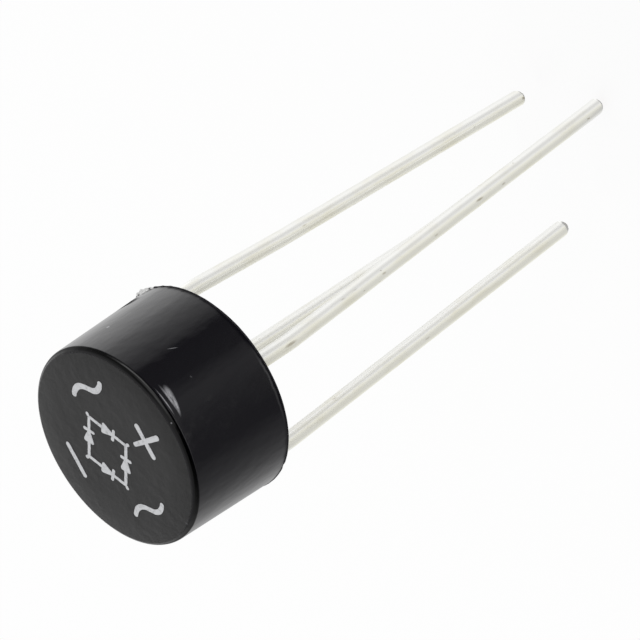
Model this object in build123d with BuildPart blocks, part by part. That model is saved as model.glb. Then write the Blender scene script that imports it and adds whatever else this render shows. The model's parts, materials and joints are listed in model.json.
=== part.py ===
from build123d import *
from dataclasses import dataclass
from math import radians, tan
import os

# Round through-hole bridge rectifier, in millimetres.
#
# The origin is the centre of the seating face, where the moulding meets the board. +Z runs up
# through the marked face, and the four leads run down. They stand at the corners of a square
# that lies along X and Y: plus at (+X, +Y), minus at (-X, -Y), and the two AC leads at the
# other two corners. Every two neighbouring terminals share one diode, which is the bridge.

# ---- Driving dimensions ----------------------------------------------------------------------
# Moulding
rim_d = 9.6                  # across the thin mould flash at the seating face
body_d = 9.52                # across the wall, at the seating face
body_height = 5.45           # seating face to marked face
wall_draft = 1.6             # degrees, so that the moulding leaves its cavity
face_edge_r = 0.23           # round between the wall and the marked face
rim_h = 0.12                 # height of the mould flash
ejector_d = 1.3              # round marks that the ejector pins leave in the seating face
ejector_depth = 0.08
ejector_offset = 3.1         # centre of the part to centre of a mark

# Leads, each measured down from the seating face
lead_d = 0.74                # tinned copper wire
lead_pitch = 5.35            # side of the square that the leads stand on
plus_lead_length = 23.5      # the longest, so that it can be told by touch
minus_lead_length = 21.2
ac_left_lead_length = 22.4
ac_right_lead_length = 21.1
exit_depth = 2.3             # every wire leaves the moulding straight, and leans from here on
ac_left_bend_depth = 7.2     # two of them turn a little once more
minus_bend_depth = 16.2
exit_bend_r = 8.0
middle_bend_r = 45.0
tip_edge_r = 0.12            # the sheared tips, rounded by tumbling

# Head plates: each wire is coined into a flat L that reaches over two diodes
head_width = 1.5
head_thickness = 0.35
head_inset = 0.25            # the plates run this much nearer the middle than the wires do
head_outer_r = 0.8
head_corner_r = 0.18
lower_deck = 2.1             # underside of the AC plates, above the seating face

# Diodes, stacked between the lower and the upper plates
die_width = 1.2
die_thickness = 0.26
solder_width = 1.0
solder_thickness = 0.06
coating_width = 1.44
coating_corner_r = 0.25

# ---- Worked out from them --------------------------------------------------------------------
lead_offset = lead_pitch / 2
head_offset = lead_offset - head_inset
die_level = lower_deck + head_thickness + solder_thickness
upper_deck = die_level + die_thickness + solder_thickness
stack_gap = upper_deck - lower_deck - head_thickness
face_d = body_d - 2 * body_height * tan(radians(wall_draft))


@dataclass(frozen=True)
class Run:
    """A straight stretch of wire: how deep it ends, and its sideways travel for each millimetre."""

    end_depth: float
    lean_x: float
    lean_y: float


@dataclass(frozen=True)
class Terminal:
    """One wire with its head plate, at the corner of the lead square that the two sides give."""

    name: str
    side_x: int
    side_y: int
    deck: float
    runs: tuple

    def route(self) -> list:
        """Corner points of the wire's centre line, from the top of its head down to its tip."""
        x = self.side_x * lead_offset
        y = self.side_y * lead_offset
        depth = exit_depth
        points = [(x, y, self.deck + head_thickness), (x, y, -depth)]
        for run in self.runs:
            x += run.lean_x * (run.end_depth - depth)
            y += run.lean_y * (run.end_depth - depth)
            depth = run.end_depth
            points.append((x, y, -depth))
        return points


# The wires are as they leave the tape: nearly parallel, each leaning a little its own way.
terminals = [
    Terminal("plus_terminal", 1, 1, upper_deck, (Run(plus_lead_length, -0.050, 0.025),)),
    Terminal("minus_terminal", -1, -1, upper_deck, (
        Run(minus_bend_depth, 0.014, 0.007),
        Run(minus_lead_length, -0.026, 0.037),
    )),
    Terminal("ac_terminal_left", -1, 1, lower_deck, (
        Run(ac_left_bend_depth, 0.038, -0.032),
        Run(ac_left_lead_length, 0.023, -0.020),
    )),
    Terminal("ac_terminal_right", 1, -1, lower_deck, (Run(ac_right_lead_length, -0.039, 0.033),)),
]

# Where the diodes sit, halfway along the sides of the lead square.
diode_sites = {
    "plus_left": (0, head_offset),
    "plus_right": (head_offset, 0),
    "minus_left": (-head_offset, 0),
    "minus_right": (0, -head_offset),
}

os.makedirs("parts", exist_ok=True)
pieces = []


def keep(piece: Part, name: str) -> None:
    """Label a finished piece, write its STEP file and remember it for the moulding's pockets."""
    piece.label = name
    export_step(piece, f"parts/{name}.step")
    pieces.append(piece)


# ---- Terminals -------------------------------------------------------------------------------
for item in terminals:
    centre_line = item.route()
    with BuildPart() as terminal:
        with BuildLine():
            FilletPolyline(*centre_line, radius=[exit_bend_r, middle_bend_r][:len(item.runs)])
        with BuildSketch(Plane(origin=centre_line[0], z_dir=(0, 0, -1))):
            Circle(lead_d / 2)
        sweep()
        tip_edge = terminal.edges().sort_by(Axis.Z)[0]
        fillet(tip_edge, radius=min(tip_edge_r, 0.45 * lead_d))
        with BuildSketch(Plane.XY.offset(item.deck)) as head:
            with Locations((item.side_x * head_offset / 2, item.side_y * head_offset)):
                Rectangle(head_offset + head_width, head_width)
            with Locations((item.side_x * head_offset, item.side_y * head_offset / 2)):
                Rectangle(head_width, head_offset + head_width)
            fillet(head.vertices().sort_by_distance((0, 0))[:-1], radius=head_corner_r)
            fillet(head.vertices().sort_by_distance((0, 0))[-1], radius=head_outer_r)
        extrude(amount=head_thickness)
    keep(terminal.part, item.name)

# ---- Diodes, with their solder and their junction coating ------------------------------------
for site, (x, y) in diode_sites.items():
    with BuildPart() as die:
        with BuildSketch(Plane.XY.offset(die_level)):
            with Locations((x, y)):
                Rectangle(die_width, die_width)
        extrude(amount=die_thickness)

    solder_levels = {"lower": lower_deck + head_thickness, "upper": die_level + die_thickness}
    solders = {}
    for layer, level in solder_levels.items():
        with BuildPart() as solder:
            with BuildSketch(Plane.XY.offset(level)):
                with Locations((x, y)):
                    Rectangle(solder_width, solder_width)
            extrude(amount=solder_thickness)
        solders[layer] = solder.part

    with BuildPart() as coating:
        with BuildSketch(Plane.XY.offset(lower_deck + head_thickness)):
            with Locations((x, y)):
                RectangleRounded(coating_width, coating_width, coating_corner_r)
        extrude(amount=stack_gap)
        add(die.part, mode=Mode.SUBTRACT)
        add(solders["lower"], mode=Mode.SUBTRACT)
        add(solders["upper"], mode=Mode.SUBTRACT)

    keep(die.part, f"die_{site}")
    keep(solders["lower"], f"solder_{site}_lower")
    keep(solders["upper"], f"solder_{site}_upper")
    keep(coating.part, f"coating_{site}")

# ---- Moulding, cast round everything above ---------------------------------------------------
with BuildPart() as moulding:
    with BuildSketch(Plane.XZ) as section:
        with BuildLine():
            Polyline(
                (0, 0),
                (rim_d / 2, 0),
                (rim_d / 2, rim_h),
                (body_d / 2 - rim_h * tan(radians(wall_draft)), rim_h),
                (face_d / 2, body_height),
                (0, body_height),
                close=True,
            )
        make_face()
        face_corner = section.vertices().sort_by_distance((rim_d / 2, body_height))[0]
        fillet(face_corner, radius=face_edge_r)
    revolve(axis=Axis.Z)
    with BuildSketch(Plane.XY):
        with Locations((-ejector_offset, 0), (ejector_offset, 0)):
            Circle(ejector_d / 2)
    extrude(amount=ejector_depth, mode=Mode.SUBTRACT)
    for piece in pieces:
        add(piece, mode=Mode.SUBTRACT)
moulding.part.label = "moulded_body"
export_step(moulding.part, "parts/moulded_body.step")
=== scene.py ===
import json
import logging
import math
from dataclasses import dataclass, field
from enum import Enum
from functools import partial, reduce
from typing import Any, Iterable

import bmesh
import bpy
import numpy as np
from mathutils import Matrix, Vector


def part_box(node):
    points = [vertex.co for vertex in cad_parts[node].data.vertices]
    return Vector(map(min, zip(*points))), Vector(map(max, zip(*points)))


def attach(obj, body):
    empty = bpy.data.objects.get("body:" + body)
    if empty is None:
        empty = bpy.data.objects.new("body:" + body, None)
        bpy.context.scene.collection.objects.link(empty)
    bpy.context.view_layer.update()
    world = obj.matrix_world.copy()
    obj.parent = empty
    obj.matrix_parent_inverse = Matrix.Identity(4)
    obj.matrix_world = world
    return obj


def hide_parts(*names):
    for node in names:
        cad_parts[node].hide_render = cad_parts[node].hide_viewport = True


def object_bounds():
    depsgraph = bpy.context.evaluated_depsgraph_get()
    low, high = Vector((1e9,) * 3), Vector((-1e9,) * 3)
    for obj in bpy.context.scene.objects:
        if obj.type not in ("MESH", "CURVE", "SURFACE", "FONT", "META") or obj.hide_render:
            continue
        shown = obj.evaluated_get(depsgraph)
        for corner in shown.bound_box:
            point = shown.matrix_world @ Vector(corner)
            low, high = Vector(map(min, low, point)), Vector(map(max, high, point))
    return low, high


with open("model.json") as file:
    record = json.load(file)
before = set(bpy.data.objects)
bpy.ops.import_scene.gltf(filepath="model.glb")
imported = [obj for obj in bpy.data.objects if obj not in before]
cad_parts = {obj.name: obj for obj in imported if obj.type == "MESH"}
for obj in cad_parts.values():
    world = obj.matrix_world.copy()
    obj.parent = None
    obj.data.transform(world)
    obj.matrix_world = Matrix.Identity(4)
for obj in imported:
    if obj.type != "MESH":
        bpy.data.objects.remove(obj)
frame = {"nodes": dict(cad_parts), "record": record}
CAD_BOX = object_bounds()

# Dresses the round bridge rectifier: a black moulded drum that stands on its seating face, four
# tinned wires that run down from it, the printed signs on the marked face, and the diodes inside.
# Lengths are in millimetres until a mesh is finished, and then in metres, as the frame is. Turns
# and leans that a class holds are in degrees, and so is the wall's draft.

MM = 0.001
ROOT = "root"
WIRE_RADIUS = 0.37
WIRE_PITCH = 5.35
WALL_DRAFT = 1.6
WHITE = (1.0, 1.0, 1.0)
log = logging.getLogger("rectifier")

Colour = tuple[float, float, float]
Point = tuple[float, float, float]
Triple = tuple[float, float, float]
Band = tuple[float, float]
Ring = tuple[tuple[float, float], ...]
Stroke = list[Triple]
Inputs = dict[int | str, Any] | None


class Slot(Enum):
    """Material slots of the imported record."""

    MOULDING = "moulding_epoxy"
    WIRE = "tinned_copper"
    COATING = "coating"


class TipCut(Enum):
    """How a wire's free end was cut off."""

    SQUARE = "square"
    SLANTED = "slanted"
    TUMBLED = "tumbled"


# ---- Node trees ------------------------------------------------------------------------------


@dataclass(frozen=True)
class Signal:
    """An output of a node tree, with arithmetic that adds the nodes it needs."""

    wiring: "Wiring"
    socket: bpy.types.NodeSocket

    def __add__(self, other: Any) -> "Signal":
        """The sum of the two."""
        return self.wiring.math("ADD", self, other)

    def __sub__(self, other: Any) -> "Signal":
        """This less the other."""
        return self.wiring.math("SUBTRACT", self, other)

    def __rsub__(self, other: Any) -> "Signal":
        """The other less this."""
        return self.wiring.math("SUBTRACT", other, self)

    def __mul__(self, other: Any) -> "Signal":
        """The product of the two."""
        return self.wiring.math("MULTIPLY", self, other)

    def __truediv__(self, other: Any) -> "Signal":
        """This divided by the other."""
        return self.wiring.math("DIVIDE", self, other)


class Wiring:
    """Adds nodes to one node tree and joins them."""

    def __init__(self, tree: bpy.types.NodeTree) -> None:
        """Start on a tree."""
        self.tree = tree

    def node(self, kind: str, inputs: Inputs = None, **settings: Any) -> Any:
        """Add one node.

        Args:
            kind: The node's type name.
            inputs: Constants or signals, by input name or number.
            settings: The node's own settings.

        Returns:
            The new node.
        """
        made = self.tree.nodes.new(kind)
        for name, value in settings.items():
            setattr(made, name, value)
        for name, value in (inputs or {}).items():
            self.feed(made.inputs[name], value)
        return made

    def out(self, kind: str, inputs: Inputs = None, output: int | str = 0, **settings: Any) -> Signal:
        """Add one node, as node() does, and go on from one of its outputs."""
        return Signal(self, self.node(kind, inputs, **settings).outputs[output])

    def feed(self, socket: bpy.types.NodeSocket, value: Any) -> None:
        """Give an input a value or a link.

        Args:
            socket: The input.
            value: A signal, or a constant. A plain colour gets its alpha here.
        """
        if isinstance(value, Signal):
            self.tree.links.new(value.socket, socket)
        elif socket.type == "RGBA" and len(value) == len(WHITE):
            socket.default_value = (*value, 1.0)
        else:
            socket.default_value = value

    def math(self, how: str, a: Any, b: Any = 0.0) -> Signal:
        """One step of arithmetic on one or two numbers."""
        return self.out("ShaderNodeMath", {0: a, 1: b}, operation=how)

    def most(self, *values: Any) -> Signal:
        """The highest of several numbers."""
        return reduce(partial(self.math, "MAXIMUM"), values)

    def least(self, *values: Any) -> Signal:
        """The lowest of several numbers."""
        return reduce(partial(self.math, "MINIMUM"), values)

    def vector(self, how: str, a: Any, b: Any = (0.0, 0.0, 0.0)) -> Signal:
        """One step of vector arithmetic.

        Args:
            how: The operation.
            a: The first vector.
            b: The second vector, or the factor of a SCALE.

        Returns:
            The result: a number for LENGTH and DOT_PRODUCT, and otherwise a vector.
        """
        second = "Scale" if how == "SCALE" else 1
        output = "Value" if how in ("LENGTH", "DOT_PRODUCT") else "Vector"
        return self.out("ShaderNodeVectorMath", {0: a, second: b}, output, operation=how)

    def split(self, vector: Signal) -> list[Signal]:
        """A vector's X, Y and Z."""
        return [Signal(self, axis) for axis in self.node("ShaderNodeSeparateXYZ", {0: vector}).outputs]

    def window(self, value: Any, low: float, high: float, start: float = 0.0, end: float = 1.0) -> Signal:
        """A smooth step from start to end while value goes from low to high.

        Args:
            value: The number that drives it.
            low: Where the step begins.
            high: Where the step ends.
            start: The result before the step.
            end: The result after it.

        Returns:
            The result.
        """
        return self.out(
            "ShaderNodeMapRange",
            {"Value": value, "From Min": low, "From Max": high, "To Min": start, "To Max": end},
            interpolation_type="SMOOTHSTEP",
        )

    def blend(self, share: Any, a: Any, b: Any) -> Signal:
        """A number from a, at a share of 0, to b, at 1."""
        return self.out("ShaderNodeMix", {0: share, 2: a, 3: b}, data_type="FLOAT")

    def tint(self, share: Any, a: Any, b: Any) -> Signal:
        """A colour from a, at a share of 0, to b, at 1."""
        return self.out("ShaderNodeMix", {0: share, 6: a, 7: b}, 2, data_type="RGBA")

    def heading(self, x: Signal, y: Signal) -> Signal:
        """Which way a place lies round the Z axis: 0 and 1 at -X, and a half at +X."""
        return self.math("ARCTAN2", y, x) / (2 * math.pi) + 0.5

    def around(self, heading: Signal, stops: Iterable[tuple[float, Colour]]) -> Signal:
        """A colour that changes with the heading.

        Args:
            heading: The heading, from 0 to 1.
            stops: The colours, by degrees from +X.

        Returns:
            The colour.
        """
        ramp = self.node("ShaderNodeValToRGB", {0: heading})
        marks = ramp.color_ramp.elements
        for i, (degrees, colour) in enumerate(stops):
            at = (degrees + 180) / 360
            mark = marks[i] if i < 2 else marks.new(at)
            mark.position = at
            mark.color = (*colour, 1.0)
        return Signal(self, ramp.outputs["Color"])


def emptied(owner: bpy.types.Material | bpy.types.World) -> Wiring:
    """Start on the node tree of a material or a world.

    Args:
        owner: The material or the world.

    Returns:
        Its wiring, with nothing on it.
    """
    owner.use_nodes = True
    owner.node_tree.nodes.clear()
    return Wiring(owner.node_tree)


class Bench(Wiring):
    """Puts the nodes of one surface material together, in millimetres on the part."""

    SOCKETS = {"ior": "IOR", "specular_ior_level": "Specular IOR Level"}

    def __init__(self, name: str) -> None:
        """Start a material with a plain Principled shader.

        Args:
            name: The material's name.
        """
        self.material = bpy.data.materials.new(name)
        super().__init__(emptied(self.material).tree)
        self.shader = self.node("ShaderNodeBsdfPrincipled")
        self.node("ShaderNodeOutputMaterial", {"Surface": Signal(self, self.shader.outputs[0])})
        self.metres = self.out("ShaderNodeTexCoord", output="Object")
        self.place = self.scaled((1.0, 1.0, 1.0))
        self.x, self.y, self.z = self.split(self.place)

    def scaled(self, scale: Point) -> Signal:
        """The place on the part, in pattern units for each millimetre along X, Y and Z."""
        return self.out("ShaderNodeMapping", {"Vector": self.metres, "Scale": tuple(s / MM for s in scale)})

    def cloud(self, scale: float | Point, detail: float, rough: float) -> Signal:
        """Soft random noise.

        Args:
            scale: Blotches for each millimetre, the same all ways or along X, Y and Z.
            detail: How many finer layers it has.
            rough: How strong the finer layers are.

        Returns:
            The noise, from 0 to 1.
        """
        stretched = isinstance(scale, tuple)
        inputs = {
            "Vector": self.scaled(scale) if stretched else self.place,
            "Scale": 1.0 if stretched else scale,
            "Detail": detail,
            "Roughness": rough,
        }
        return self.out("ShaderNodeTexNoise", inputs, "Fac")

    def spot(self, centre: Point, turn: Point, reach: Point, soft: float) -> Signal:
        """A soft-edged ellipsoid, to keep a mark to one place.

        Args:
            centre: Its middle.
            turn: Its turn, in radians.
            reach: Half its size along its own three axes.
            soft: Where its edge begins to fade, as a share of its reach.

        Returns:
            The mask, 1 inside and 0 outside.
        """
        inputs = {
            "Vector": self.metres,
            "Location": tuple(c * MM for c in centre),
            "Rotation": turn,
            "Scale": tuple(r * MM for r in reach),
        }
        local = self.out("ShaderNodeMapping", inputs, vector_type="TEXTURE")
        return self.window(self.vector("LENGTH", local), soft, 1.0, 1.0, 0.0)

    def set(self, **values: Any) -> None:
        """Set the shader's own inputs, such as base_color or roughness.

        Args:
            values: Constants or signals, by the input's name in small letters.
        """
        for name, value in values.items():
            socket = self.SOCKETS.get(name, name.replace("_", " ").title())
            self.feed(self.shader.inputs[socket], value)

    def emboss(self, height: Signal, depth: float, strength: float) -> None:
        """Raise the surface by a pattern.

        Args:
            height: The pattern.
            depth: How high a pattern of 1 stands, in millimetres.
            strength: How much of it shows.
        """
        inputs = {"Height": height, "Distance": depth * MM, "Strength": strength}
        self.feed(self.shader.inputs["Normal"], self.out("ShaderNodeBump", inputs))


# ---- Finishes --------------------------------------------------------------------------------


@dataclass(frozen=True)
class WallMark:
    """A scratch, a rubbed place or a painted highlight on the drum's wall.

    Attributes:
        turn: Its place round the wall, in degrees from +X.
        height: Its middle above the seating face.
        length: Its length, in millimetres.
        width: Its width.
        lean: How far it leans from level, in degrees.
        strength: How much of it shows, from 0 to 1.
    """

    turn: float
    height: float
    length: float
    width: float
    lean: float
    strength: float


@dataclass(frozen=True)
class MouldedEpoxy:
    """Black moulding resin: glossy round the wall, eroded to a satin grain on the two ends, with painted
    shade on the rounded edge and painted highlights among the scuff marks.

    Attributes:
        face_rise: Heights over which the marked face's grain begins.
        face_edge: Radii over which it ends.
        seat_rise: Heights over which the seating face's grain ends.
        seat_edge: Radii over which it ends.
        edge_shade_rise: Heights over which the rounded edge begins, and with it the edge's painted shade.
        edge_shade_reach: Radii over which it begins.
        fin_rise: Heights over which the pale mould flash ends.
        fin_edge: Radii over which it begins.
        wall_radius: The wall's radius at the seating face.
        mark_depth: How far a mark reaches in and out of the wall.
        smear_fringe: How ragged a smear's edge is.
        uneven_gloss: How much the roughness comes and goes.
        flow_relief: How much the flow marks stand out, and so on for the waves, grain, and scuff marks with
            their painted highlights.
        relief: How high a relief of 1 stands.
    """

    colour: Colour = (0.0035, 0.0031, 0.0052)
    # Painted shade: the rounded edge is given a darker black than the rest of the resin.
    edge_shade_colour: Colour = (0.0003, 0.0003, 0.0004)
    end_colour: Colour = (0.0100, 0.0098, 0.0102)
    # Pale colour of the scuff marks, which also paints highlights on the wall.
    scuff_and_highlight_colour: Colour = (0.38, 0.38, 0.40)
    flake_colour: Colour = (0.80, 0.80, 0.79)
    gloss: float = 0.085
    satin: float = 0.46
    dull: float = 0.85
    face_rise: Band = (5.0, 5.1)
    face_edge: Band = (4.38, 4.53)
    seat_rise: Band = (0.015, 0.09)
    seat_edge: Band = (4.70, 4.76)
    edge_shade_rise: Band = (5.05, 5.2)
    edge_shade_reach: Band = (4.44, 4.56)
    fin_rise: Band = (0.2, 0.3)
    fin_edge: Band = (4.795, 4.825)
    wall_radius: float = 4.757
    mark_depth: float = 0.32
    smear_fringe: float = 1.2
    uneven_gloss: float = 0.05
    flow_relief: float = 0.9
    wave_relief: float = 1.4
    grain_relief: float = 0.22
    scuff_and_highlight_relief: float = 0.30
    relief: float = 0.016
    scuffs_and_highlights: tuple[WallMark, ...] = (
        # The first four are painted highlights, a lamp's reflection on the wall near the face's edge; the
        # rest are scratches and specks.
        WallMark(55.2, 4.76, 1.65, 0.16, 0.0, 0.85),
        WallMark(57.6, 4.63, 0.95, 0.38, -6.0, 0.80),
        WallMark(51.4, 4.66, 1.26, 0.21, -14.0, 0.95),
        WallMark(55.5, 5.01, 1.60, 0.09, 0.0, 0.70),
        WallMark(76.3, 3.02, 0.60, 0.05, 62.0, 0.55),
        WallMark(116.9, 3.52, 0.24, 0.20, 0.0, 1.0),
        WallMark(58.5, 3.32, 0.16, 0.12, 20.0, 0.12),
        WallMark(44.5, 5.30, 0.11, 0.09, 0.0, 0.55),
        WallMark(-21.2, 5.40, 0.12, 0.09, 0.0, 0.60),
    )
    smears: tuple[WallMark, ...] = (WallMark(138.0, 1.14, 3.60, 1.80, 0.0, 1.0),)
    chips: tuple[WallMark, ...] = (
        WallMark(138.0, 0.05, 1.70, 0.46, 0.0, 1.0),
        WallMark(131.0, 0.02, 0.90, 0.28, 0.0, 0.9),
    )

    def material(self) -> bpy.types.Material:
        """Make the material.

        Returns:
            The black resin, with its satin ends, its flow marks, its scuff marks and painted highlights, and
            painted shade on its rounded edge.
        """
        b = Bench("black_epoxy")
        across = b.math("SQRT", b.x * b.x + b.y * b.y)
        flow = b.cloud((0.55, 0.55, 0.22), 3.0, 0.55)
        wave = b.cloud((2.3, 2.3, 1.2), 1.5, 0.5)
        grain = b.cloud(26.0, 3.0, 0.62)
        speckle = b.cloud(7.0, 2.0, 0.6)
        torn = b.window(b.cloud((9.0, 9.0, 16.0), 3.0, 0.7), 0.30, 0.52)
        satin = self.satin_ends(b, across)
        fringe = (wave - 0.5) * self.smear_fringe
        smeared = b.window(self.marked(b, self.smears) + fringe, 0.12, 1.0)
        # Scuffs, and highlights painted as pale scuffs where the wall would mirror a lamp.
        scuffed_or_highlit = self.marked(b, self.scuffs_and_highlights) * b.blend(0.45, 1.0, torn)
        # Painted shade: the rounded edge is darkened so that it shows as a dark line.
        rounded = b.window(b.z, *self.edge_shade_rise) * b.window(across, *self.edge_shade_reach)
        skin = b.tint(satin, b.tint(rounded, self.colour, self.edge_shade_colour), self.end_colour)
        flaked = b.tint(self.flaked(b, across), skin, self.flake_colour)
        glossy = b.window(flow, 0.25, 0.75, self.gloss - 0.02, self.gloss + 0.04)
        matt = b.blend(smeared, self.satin, self.dull)
        worn_or_highlit = b.most(satin, smeared, scuffed_or_highlit * 0.8)
        b.set(
            base_color=b.tint(scuffed_or_highlit, flaked, self.scuff_and_highlight_colour),
            roughness=b.blend(worn_or_highlit, glossy, matt) + (speckle - 0.5) * self.uneven_gloss,
            ior=1.5,
            specular_ior_level=0.5,
        )
        ripple = flow * self.flow_relief + wave * self.wave_relief
        height = b.blend(satin, ripple, grain * self.grain_relief + ripple)
        b.emboss(height + scuffed_or_highlit * self.scuff_and_highlight_relief, self.relief, 0.6)
        return b.material

    def satin_ends(self, b: Bench, across: Signal) -> Signal:
        """Find the two grained ends.

        Args:
            b: The material's bench.
            across: The distance from the drum's axis.

        Returns:
            Their mask.
        """
        top = b.window(b.z, *self.face_rise) * b.window(across, *self.face_edge, 1.0, 0.0)
        seat = b.window(b.z, *self.seat_rise, 1.0, 0.0) * b.window(across, *self.seat_edge, 1.0, 0.0)
        return b.most(top, seat)

    def flaked(self, b: Bench, across: Signal) -> Signal:
        """Find the pale mould flash and the chips beside it.

        Args:
            b: The material's bench.
            across: The distance from the drum's axis.

        Returns:
            Their mask.
        """
        torn = b.window(b.cloud((5.0, 5.0, 9.0), 3.0, 0.6), 0.38, 0.50)
        chipped = b.window(self.marked(b, self.chips), 0.25, 0.5) * torn
        fin = b.window(across, *self.fin_edge) * b.window(b.z, *self.fin_rise, 1.0, 0.0)
        return b.most(fin, chipped)

    def marked(self, b: Bench, places: Iterable[WallMark]) -> Signal:
        """The mask of several marked places, scratches, smears, chips and painted highlights, each as strong
        as its mark is.
        """
        return b.most(*(self.worn_or_highlit(b, place) for place in places))

    def worn_or_highlit(self, b: Bench, s: WallMark) -> Signal:
        """Find one marked place on the wall: a scratch, a smear, a chip or a painted highlight.

        Args:
            b: The material's bench.
            s: The scratch, scuff, smear, chip or painted highlight.

        Returns:
            Its mask, as strong as the mark is.
        """
        angle = math.radians(s.turn)
        radius = self.wall_radius - s.height * math.tan(math.radians(WALL_DRAFT))
        middle = (radius * math.cos(angle), radius * math.sin(angle), s.height)
        reach = (self.mark_depth, s.length / 2, s.width / 2)
        return b.spot(middle, (math.radians(s.lean), 0.0, angle), reach, 0.10) * s.strength


@dataclass(frozen=True)
class Pit:
    """A dent or flux mark in a wire's plating.

    Attributes:
        turn: Its place round the wire, in degrees from +X.
        depth: Its place below the seating face.
        length: Its length along the wire.
        width: Its width round the wire.
        strength: How dark it is, from 0 to 1.
    """

    turn: float
    depth: float
    length: float
    width: float
    strength: float


@dataclass(frozen=True)
class TinPlate:
    """Bright tin on a drawn copper wire, with drawing streaks, pits, a warm tarnish and a cut end.

    Attributes:
        name: The material's name.
        tip: Where the wire ends.
        spots: The pits, each with its place on the wire's surface.
        core_radius: How far the bare copper of the cut end reaches.
        core_rise: Distances from the tip over which the copper ends.
        pit_depth: How far a pit reaches in and out of the surface.
        streak_relief: How much the drawing streaks stand out, and so on for the fine ones.
        pit_relief: How deep the pits are beside them.
        relief: How high a relief of 1 stands.
    """

    name: str
    tip: Point
    spots: tuple[tuple[Point, Pit], ...] = ()
    colour: Colour = (0.95, 0.948, 0.92)
    tarnish: Colour = (0.90, 0.885, 0.80)
    pit_colour: Colour = (0.34, 0.29, 0.20)
    core_colour: Colour = (0.70, 0.43, 0.31)
    core_radius: float = 0.27
    core_rise: Band = (0.30, 0.34)
    pit_depth: float = 0.14
    streak_relief: float = 0.6
    fine_relief: float = 0.25
    pit_relief: float = 4.0
    relief: float = 0.0018
    roughness: float = 0.13
    bright: float = 0.60

    def material(self) -> bpy.types.Material:
        """Make the material.

        Returns:
            The tin plate.
        """
        b = Bench(self.name)
        streak = b.cloud((11.0, 11.0, 0.35), 3.0, 0.6)
        fine = b.cloud((34.0, 34.0, 1.3), 2.0, 0.6)
        blotch = b.cloud((1.6, 1.6, 0.55), 3.0, 0.6)
        pock = b.cloud((6.0, 6.0, 2.6), 2.0, 0.55)
        marks = [b.window(pock, 0.70, 0.80) * 0.55, *(self.pitted(b, *spot) for spot in self.spots)]
        pitted = b.most(*marks) * b.window(fine, 0.2, 0.55, 0.55, 1.0)
        warm = b.window(blotch, 0.42, 0.72) * b.window(streak, 0.3, 0.6, 0.35, 1.0)
        tin = b.tint(pitted, b.tint(warm, self.colour, self.tarnish), self.pit_colour)
        drawn = b.window(streak, 0.25, 0.75, self.roughness - 0.04, self.roughness + 0.07)
        b.set(
            base_color=b.tint(self.bare(b, streak), tin, self.core_colour),
            metallic=self.bright,
            roughness=drawn + pitted * 0.25,
        )
        height = streak * self.streak_relief + fine * self.fine_relief - pitted * self.pit_relief
        b.emboss(height, self.relief, 0.7)
        return b.material

    def pitted(self, b: Bench, middle: Point, pit: Pit) -> Signal:
        """Find one pit.

        Args:
            b: The material's bench.
            middle: Its place on the wire's surface.
            pit: The pit.

        Returns:
            Its mask, as strong as the pit is.
        """
        reach = (self.pit_depth, pit.width / 2, pit.length / 2)
        return b.spot(middle, (0.0, 0.0, math.radians(pit.turn)), reach, 0.2) * pit.strength

    def bare(self, b: Bench, streak: Signal) -> Signal:
        """Find the bare copper on the cut end.

        Args:
            b: The material's bench.
            streak: The drawing streaks, which the copper's edge follows.

        Returns:
            Its mask.
        """
        x, y, z = self.tip
        aside = b.vector("SUBTRACT", b.place, (x, y, 0.0))
        across = b.vector("LENGTH", b.vector("MULTIPLY", aside, (1.0, 1.0, 0.0)))
        smear = across + b.window(streak, 0.3, 0.7, -0.06, 0.06)
        near, far = (z + rise for rise in self.core_rise)
        core = b.window(smear, self.core_radius - 0.03, self.core_radius + 0.02, 1.0, 0.0)
        return core * b.window(b.z, near, far, 1.0, 0.0)


@dataclass(frozen=True)
class MarkingInk:
    """Pale grey pad-printing ink, a little thin and uneven."""

    colour: Colour = (0.52, 0.525, 0.54)
    thin_colour: Colour = (0.32, 0.325, 0.335)

    def material(self) -> bpy.types.Material:
        """Make the material.

        Returns:
            The ink.
        """
        b = Bench("marking_ink")
        cover = b.cloud(5.0, 3.0, 0.65)
        fleck = b.cloud(19.0, 2.0, 0.6)
        thin = b.window(cover, 0.45, 0.75) * b.window(fleck, 0.3, 0.6)
        b.set(
            base_color=b.tint(thin, self.colour, self.thin_colour),
            roughness=b.window(fleck, 0.2, 0.8, 0.50, 0.68),
            ior=1.45,
        )
        b.emboss(cover + fleck, 0.004, 0.5)
        return b.material


@dataclass(frozen=True)
class SiliconDie:
    """A sawn silicon chip with a glassy passivation."""

    colour: Colour = (0.10, 0.11, 0.135)
    sawn: Colour = (0.17, 0.175, 0.185)

    def material(self) -> bpy.types.Material:
        """Make the material.

        Returns:
            The silicon.
        """
        b = Bench("silicon_die")
        saw = b.cloud((2.0, 2.0, 60.0), 3.0, 0.6)
        haze = b.cloud(4.0, 3.0, 0.6)
        b.set(
            base_color=b.tint(b.window(saw, 0.35, 0.65), self.colour, self.sawn),
            metallic=0.55,
            roughness=b.window(haze, 0.3, 0.7, 0.16, 0.34),
        )
        b.emboss(saw, 0.006, 0.5)
        return b.material


@dataclass(frozen=True)
class SolderLayer:
    """Reflowed solder, dull and slightly frosted."""

    colour: Colour = (0.56, 0.565, 0.57)
    frost: Colour = (0.38, 0.385, 0.39)

    def material(self) -> bpy.types.Material:
        """Make the material.

        Returns:
            The solder.
        """
        b = Bench("reflowed_solder")
        crystal = b.out("ShaderNodeTexVoronoi", {"Vector": b.place, "Scale": 14.0}, "Distance")
        cloud = b.cloud(6.0, 3.0, 0.6)
        b.set(
            base_color=b.tint(b.window(crystal, 0.1, 0.7), self.colour, self.frost),
            metallic=1.0,
            roughness=b.window(cloud, 0.3, 0.7, 0.30, 0.48),
        )
        b.emboss(crystal + cloud, 0.006, 0.6)
        return b.material


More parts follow.
